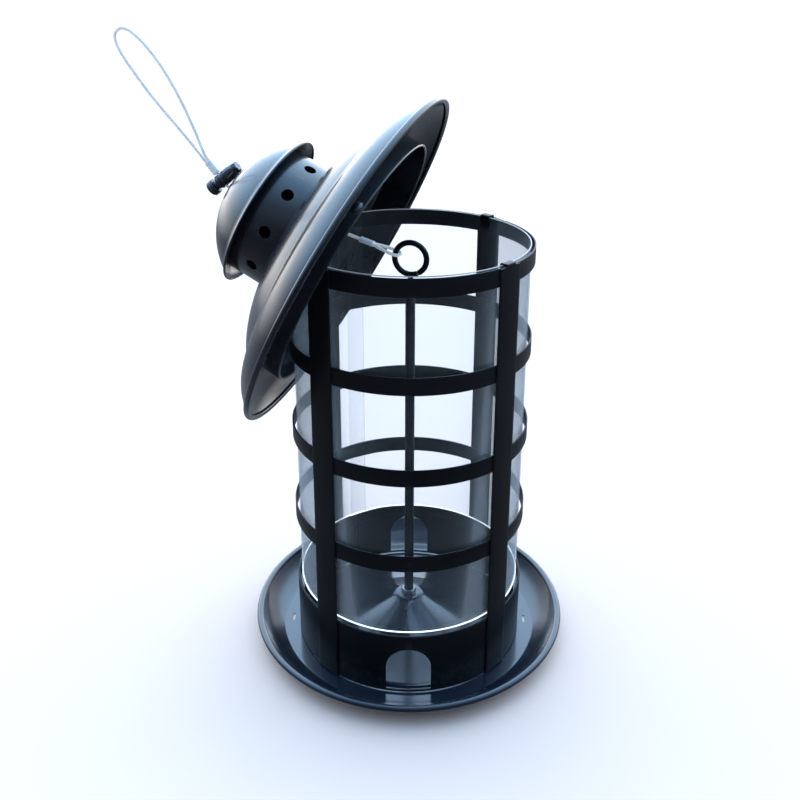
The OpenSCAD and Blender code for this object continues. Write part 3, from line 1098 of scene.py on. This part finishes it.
# The roof's crease, as (radius, height), and how far the sheet bulges above and below it
CREASE = (101.5, 18.6)
UPPER_SAG, LOWER_SAG = -4.6, -3.2
COLLAR_R = 96.4
COLLAR_LOW, COLLAR_HIGH = -3.9, 20.6
VENT_R = 47.6
VENT_LOW, VENT_HIGH = 38.6, 78.3
VENT_COUNT = 10
VENT_HOLE_R = 4.3
VENT_HOLE_Z = 53
VENT_TURN = 26
CAP_R = 57.1
CAP_SAG = -7


def roof():
    neck = soften(points((46.4, 42.6), (46.4, 40.4), (VENT_R + 0.4, ROOF_TOP)), 0.8)
    upper = arc(CREASE, (VENT_R + 0.5, ROOF_TOP), UPPER_SAG, 24)[::-1]
    lower = arc((ROOF_R - 4.4, 2.4), CREASE, LOWER_SAG, 24)[::-1]
    lip = [Vector((ROOF_R - 3.9, 1.5))]
    bead = curl((ROOF_R - ROOF_BEAD, 0), ROOF_BEAD - SHEET / 2, 125, -160, 28)
    path = join(neck, upper, lower, lip, bead)
    piece = lathe("roof_sheet", thicken(path, SHEET), LID, steps=288)
    keep(piece, "lid", ROOF_COAT, "roof", slot="roof_steel")


def locating_collar():
    """The collar over the cage, with a pressed-out half moon on either side."""
    moon_wide, moon_high, moon_z, moon_out = 4.2, 2.8, 0.8, 1.5
    low, high = COLLAR_LOW, COLLAR_HIGH
    middle = COLLAR_R - SHEET / 2
    heights = [low + 1.4 + (high - low - 1.4) * i / 44 for i in range(45)]
    path = join(curl((middle - 0.5, low + 0.9), 0.5, 180, 360, 8),
                [(middle, z) for z in heights])

    def half_moon(a, r, z):
        for at in (133, 313):
            across = (math.degrees(a) - at) * math.pi / 180 * COLLAR_R
            far = math.hypot(across / moon_wide, (z - moon_z) / moon_high)
            if far < 1 and r > middle - SHEET:
                r += moon_out * math.sqrt(1 - far * far)
        return r, z

    piece = lathe("locating_collar_sheet", thicken(path, SHEET * 0.9), LID, steps=720,
                  shape=half_moon)
    keep(piece, "lid", ROOF_COAT, "locating_collar", slot="roof_steel")


def vent_collar():
    outline = block((VENT_R - 0.1 - SHEET, VENT_LOW), (VENT_R - 0.1, VENT_HIGH), 0.2)
    collar = lathe("vent_collar_sheet", outline, steps=256)
    holes = []
    for i in range(VENT_COUNT):
        turn = Matrix.Rotation(math.radians(VENT_TURN + 360 / VENT_COUNT * i), 4, "Z")
        where = turn @ Matrix.Translation((VENT_R * MM, 0, VENT_HOLE_Z * MM)) @ TO_X
        holes.append(prism("hole", curl((0, 0), VENT_HOLE_R, 0, 352, 44), -4, 4, where))
    cut(collar, holes)
    collar.data.transform(LID)
    keep(collar, "lid", ROOF_COAT, "vent_collar", slot="roof_steel")


def top_cap():
    """A dome with a small brim, and a hole at its tip for the rope."""
    shoulder = (CAP_R - 3.7, 70.7)
    rim = curl((CAP_R - 1.0, 68.5), 0.5, -120, 60, 8)
    dome = arc(shoulder, (5.2, CAP_TIP - 0.4), CAP_SAG, 30)
    path = join(rim, [(CAP_R - 1.3, 69.2)], [shoulder], dome, [(5.1, CAP_TIP - 1.6)])
    piece = lathe("top_cap_sheet", thicken(path, SHEET * 0.9), LID, steps=224)
    keep(piece, "lid", ROOF_COAT, "top_cap", slot="roof_steel")


GROMMET_R = 4.4
GROMMET_BORE = 1.75


def cable_grommet():
    """The round-sided bead in the cap's hole that the rope runs through."""
    path = curl((0, 0), GROMMET_R, -27, 27, 10)
    outline = join([(GROMMET_BORE, -2.0)], path, [(GROMMET_BORE, 2.0)])
    where = ROPE @ Matrix.Translation((0, 0, (HOLE_AT - RING_AT).length))
    keep(lathe("cable_grommet_bead", outline, where, steps=64), "slider", RUBBER,
         "cable_grommet", slot="black_rubber")


roof()
locating_collar()
vent_collar()
top_cap()
cable_grommet()


# ---------------------------------------------------------------- cord lock

# The lock's own Z runs from its button, below zero, to the far end of its barrel
LOCK_FROM, LOCK_TO = -4.0, 16.0
LOCK_R = 5.4
LOCK_TIP_R = 3.9
LOCK_BORE = 3.95
LOCK_FLOOR = 2.6
LOCK_UP = 6.5
CORD_AT = -1.0
CORD_HOLE = 1.7
BUTTON_TRAVEL = 3.0
BUTTON_LEN = 5.5
BUTTON_R = 5.8
STEM_R = 3.6
BUTTON_TO = LOCK_FROM - BUTTON_TRAVEL - 0.1
BUTTON_FROM = LOCK_FROM - BUTTON_TRAVEL - BUTTON_LEN
LOCK = (ROPE_TOP @ Matrix.Translation((CORD_AT * MM, 0, LOCK_UP * MM))
        @ Matrix.Rotation(math.pi, 4, "Z") @ TO_X)


def turned(radius, low, high, step=0.14):
    """Points of an outline whose radius is a function of its height."""
    n = round((high - low) / step)
    return [Vector((radius(low + (high - low) * i / n), low + (high - low) * i / n))
            for i in range(n + 1)]


def rings(z, low, high, pitch, depth):
    """How deep a run of grooves goes at a height."""
    if not low < z < high:
        return 0.0
    wave = 0.5 - 0.5 * math.cos(math.tau * (z - low) / pitch)
    return depth * min(1.0, 1.6 * wave)


def barrel_radius(z):
    """Ribs at the button's end, a waist, a tapered end with one groove, and rounded ends."""
    taper_from, taper_over = 8, 8
    taper = max(0.0, z - taper_from) / taper_over
    r = LOCK_R - 0.05 - (LOCK_R - LOCK_TIP_R) * taper
    r -= rings(z, LOCK_FROM + 0.6, LOCK_FROM + 7.2, 1.32, 0.7)
    r -= 0.7 * (7.4 + LOCK_FROM + 0.6 < z < 7.4 + LOCK_FROM + 1.6)
    r -= 0.25 * (12.4 < z < 13.2)
    edge = min(z - LOCK_FROM, LOCK_TO - z)
    return r - 0.5 * max(0.0, 1 - edge / 0.5)


def lock_body():
    floor = LOCK_TO - LOCK_FLOOR
    inside = points((0.4, LOCK_TO), (0.4, floor), (LOCK_BORE, floor), (LOCK_BORE, LOCK_FROM))
    outline = turned(barrel_radius, LOCK_FROM, LOCK_TO) + inside

    def windows(a, r, z):
        if r > 3.96 and 5.6 < z < 11.8 and math.cos(4 * a) > 0.1:
            r -= 0.45 * min(1.0, (math.cos(4 * a) - 0.1) * 4)
        if r > 3 and z > 13.4 and math.cos(6 * a) > 0:
            r -= 0.6 * min(1.0, math.cos(6 * a) * 4)
        return r, z

    barrel = lathe("lock_barrel", outline, steps=144, shape=windows, sharp=30)
    way = Matrix.Translation((0, 0, CORD_AT * MM)) @ TO_X
    cut(barrel, [prism("hole", curl((0, 0), CORD_HOLE, 0, 345, 23), -9, 9, way)], 30)
    barrel.data.transform(LOCK)
    keep(barrel, "lock", PLASTIC, "lock_body", slot="black_plastic")


def button_radius(z):
    """Ribs all along, and rounded ends."""
    low, high = BUTTON_FROM, BUTTON_TO
    r = BUTTON_R - rings(z, low + 0.6, high - 0.3, 1.15, 0.6)
    edge = min(z - low, (high - z) * 2)
    return r - 0.7 * max(0.0, 1 - edge / 0.7)


def lock_button():
    """The ribbed head and the stem inside the barrel, slotted so that the rope runs through
    it all along its travel."""
    low, high = BUTTON_FROM, BUTTON_TO
    stem = points((STEM_R, high + 0.1), (STEM_R, 5.4), (3.2, 5.9), (0.01, 6.0))
    outline = points((0.01, low + 0.5), (3.4, low + 0.4), (3.7, low))
    outline += turned(button_radius, low, high) + stem
    button = lathe("lock_plunger", outline, steps=120, sharp=30)
    ends = (curl((0, 0), CORD_HOLE, -90, 90, 12)
            + curl((-BUTTON_TRAVEL, 0), CORD_HOLE, 90, 270, 12))
    way = Matrix.Translation((0, 0, CORD_AT * MM)) @ TO_X @ Matrix.Rotation(math.pi, 4, "Z")
    cut(button, [prism("slot", ends, -9, 9, way)], 30)
    button.data.transform(LOCK)
    keep(button, "button", PLASTIC, "lock_button", slot="black_plastic")


def lock_spring():
    """The coil behind the plunger, drawn at its rest length. The real one shortens towards the
    barrel's floor as the button goes in; nothing here does that."""
    start, end, turns, coil_r, wire_r = 6.5, 12.9, 5, 2.6, 0.33
    steps = turns * 24
    path = [Vector((coil_r * math.cos(a), coil_r * math.sin(a),
                    start + (end - start) * i / steps))
            for i, a in enumerate(math.tau * turns * k / steps for k in range(steps + 1))]
    verts, faces = [], []
    tube_parts(path, wire_r, 10, verts, faces)
    coil = to_mesh("lock_spring_coil", verts, faces, LOCK)
    keep(coil, "lock", ZINC, "lock_spring", slot="zinc_steel")
    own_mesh(coil)


lock_body()
lock_button()
lock_spring()


# ---------------------------------------------------------------- floor, light

# Colours from the front, at 0, to the back, at 1, for what the object is lit by and mirrors
GROUND = ((0.0, (0.005, 0.005, 0.006)), (0.5, (0.03, 0.035, 0.04)), (1.0, (0.06, 0.07, 0.085)))
LOW_SKY = ((0.0, (0.01, 0.011, 0.013)), (0.5, (0.10, 0.13, 0.17)), (1.0, (0.79, 0.78, 0.77)))
HIGH_SKY = ((0.1, (0.06, 0.08, 0.11)), (0.47, (0.22, 0.40, 0.66)), (0.7, (0.46, 0.68, 0.95)))
SKY_POWER = 4.2
BACKDROP = (1.0, 1.0, 1.0)
FLOOR_HALF = 30


def floor():
    """A pale floor, warm in itself to balance the blue sky. Reflections don't see it."""
    made = bpy.data.materials.new("pale_floor")
    n = Nodes(made)
    tone = n.mix(n.noise(0.9, 2), (0.90, 0.63, 0.50), (0.92, 0.65, 0.52))
    n.set("Base Color", tone)
    n.set("Roughness", 0.9)
    mesh = bpy.data.meshes.new("floor")
    corners = [(-1, -1, 0), (1, -1, 0), (1, 1, 0), (-1, 1, 0)]
    mesh.from_pydata([tuple(FLOOR_HALF * c for c in corner) for corner in corners], [],
                     [(0, 1, 2, 3)])
    obj = put("floor", mesh)
    mesh.materials.append(made)
    obj.visible_glossy = False


def world():
    """Soft light all round, bright behind and dim in front: a dark ground, a pale low sky
    and a blue high sky. The camera itself sees a plain white backdrop."""
    sky = bpy.data.worlds.new("studio")
    bpy.context.scene.world = sky
    n = Nodes(sky, "Background", "Generated")
    parts = n.split(n.place)
    across = n.span(parts["Y"], -1, 1, 0, 1)
    ground, low, high = (n.ramp(across, stops) for stops in (GROUND, LOW_SKY, HIGH_SKY))
    lower = n.mix(n.span(parts["Z"], -0.2, 0.02, 0, 1), ground, low)
    whole = n.mix(n.span(parts["Z"], 0.08, 0.5, 0, 1), lower, high)
    to_camera = n.add("ShaderNodeLightPath").outputs["Is Camera Ray"]
    n.set("Color", n.mix(to_camera, whole, tuple(c / SKY_POWER for c in BACKDROP)))
    n.set("Strength", SKY_POWER)


floor()
world()
bpy.context.scene.view_settings.view_transform = "Standard"
